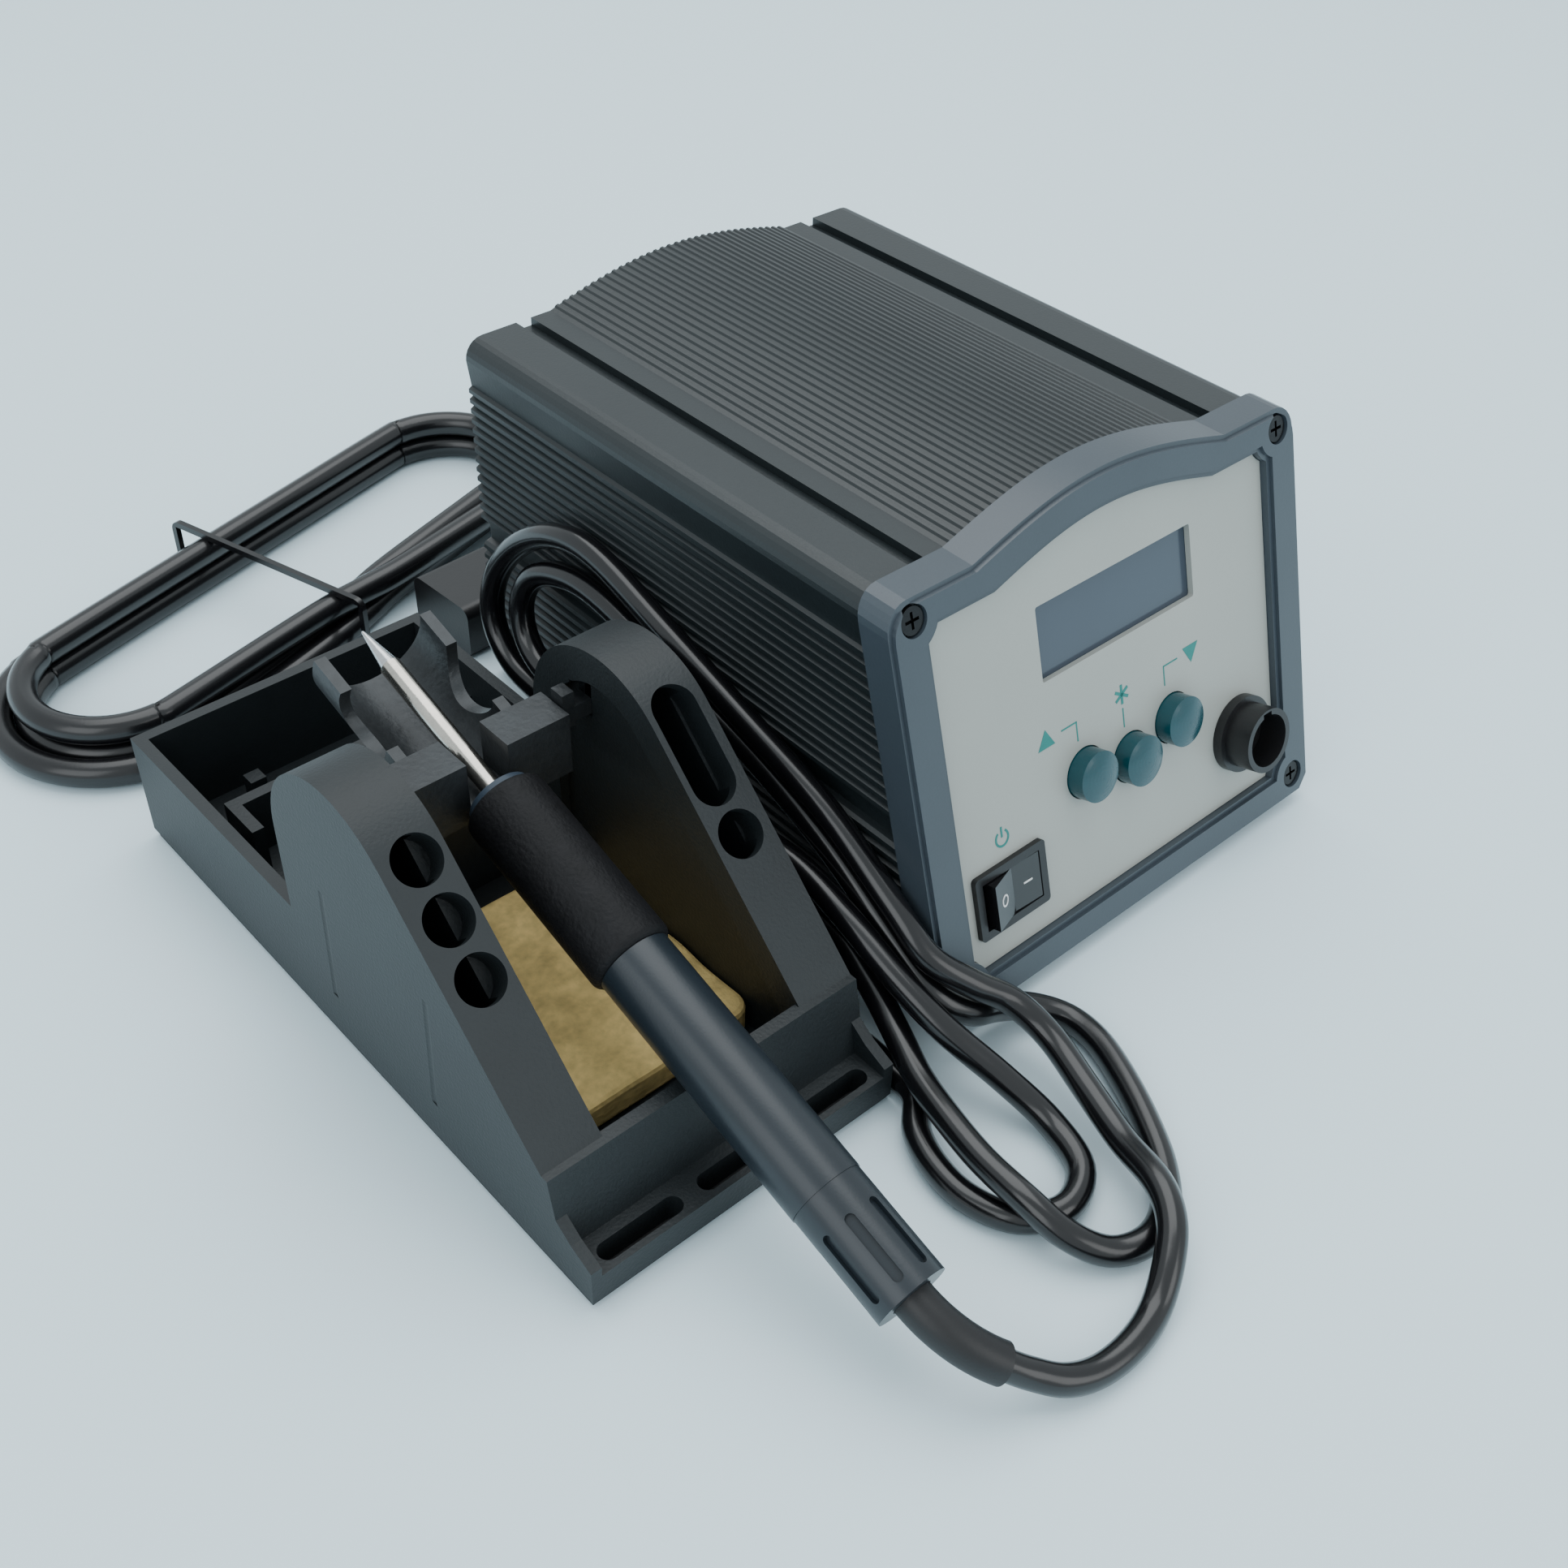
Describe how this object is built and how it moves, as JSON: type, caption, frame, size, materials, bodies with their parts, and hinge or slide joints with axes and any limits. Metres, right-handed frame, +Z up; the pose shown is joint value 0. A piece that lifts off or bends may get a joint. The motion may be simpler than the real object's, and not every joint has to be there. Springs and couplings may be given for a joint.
{
  "type": "soldering iron station",
  "caption": "Soldering station: ribbed control unit with sloping panel, soldering iron on a lead, stand with sponge tray and storage box, and hanked mains lead.",
  "frame": {"origin": "on the table under the middle of the unit, stand and iron together", "axes": "+Z up, the sloping front panel faces -Y, the stand is on the -X side"},
  "size_m": [0.2744, 0.3682, 0.1055],
  "materials": {
    "case_slate": "satin",
    "bezel_slate": "satin",
    "panel_grey": "matte",
    "display_glass": "gloss",
    "display_frame": "matte",
    "board_green": "gloss",
    "switch_black": "satin",
    "rocker_black": "gloss",
    "contact_brass": "satin",
    "inlet_black": "satin",
    "steel_pins": "satin",
    "earth_green": "gloss",
    "core_steel": "matte",
    "coil_copper": "satin",
    "screw_black": "satin",
    "foot_rubber": "matte",
    "button_teal": "satin",
    "stand_slate": "matte",
    "holder_grey": "satin",
    "sponge_ochre": "matte",
    "tip_metal": "satin",
    "barrel_steel": "satin",
    "heater_ceramic": "matte",
    "collar_slate": "satin",
    "grip_foam": "matte",
    "handle_slate": "satin",
    "cord_black": "gloss",
    "plug_black": "satin",
    "tie_black": "satin"
  },
  "bodies": {
    "station": {"case_shell": "case_slate", "front_bezel": "bezel_slate", "front_panel": "panel_grey", "display_window": "display_glass", "display_module": "display_frame", "control_board": "board_green", "key_switches": "switch_black", "switch_housing": "switch_black", "iron_socket": "switch_black", "socket_insert": "switch_black", "socket_contacts": "contact_brass", "rear_panel": "case_slate", "mains_inlet": "inlet_black", "inlet_pins": "steel_pins", "fuse_cap": "inlet_black", "earth_socket": "earth_green", "main_board": "board_green", "transformer_core": "core_steel", "transformer_coil": "coil_copper", "front_screws": "screw_black", "rear_screws": "screw_black", "case_feet": "foot_rubber", "stand_body": "stand_slate", "base_pad": "foot_rubber", "iron_holder": "holder_grey", "sponge": "sponge_ochre", "iron_cord": "cord_black", "cord_plug": "plug_black", "cord_plug_ring": "plug_black", "cord_plug_pins": "contact_brass", "mains_hank": "cord_black", "lead_to_socket": "cord_black", "lead_to_plug": "cord_black", "lead_socket": "plug_black", "mains_plug": "plug_black", "mains_plug_pins": "steel_pins", "wire_tie": "tie_black"},
    "rocker": {"power_rocker": "rocker_black"},
    "up_key": {"button_up": "button_teal"},
    "set_key": {"button_set": "button_teal"},
    "down_key": {"button_down": "button_teal"},
    "iron": {"iron_tip": "tip_metal", "tip_barrel": "barrel_steel", "heater_core": "heater_ceramic", "nose_collar": "collar_slate", "foam_grip": "grip_foam", "iron_handle": "handle_slate", "handle_cap": "handle_slate", "cord_sleeve": "cord_black"}
  },
  "joints": [
    {"name": "rocker_tilt", "type": "hinge", "parent": "station", "child": "rocker", "pos_m": [0.00945, -0.04592, 0.02474], "axis": [0, 0.2874, 0.9578], "range_deg": [-18, 0]},
    {"name": "up_press", "type": "slide", "parent": "station", "child": "up_key", "axis": [0, 0.9578, -0.2874], "range_m": [0, 0.001], "stiffness_N_per_m": 900},
    {"name": "set_press", "type": "slide", "parent": "station", "child": "set_key", "axis": [0, 0.9578, -0.2874], "range_m": [0, 0.001], "stiffness_N_per_m": 900},
    {"name": "down_press", "type": "slide", "parent": "station", "child": "down_key", "axis": [0, 0.9578, -0.2874], "range_m": [0, 0.001], "stiffness_N_per_m": 900},
    {"name": "iron_lift", "type": "slide", "parent": "station", "child": "iron", "axis": [0, 0, 1], "range_m": [0, 0.03]}
  ]
}
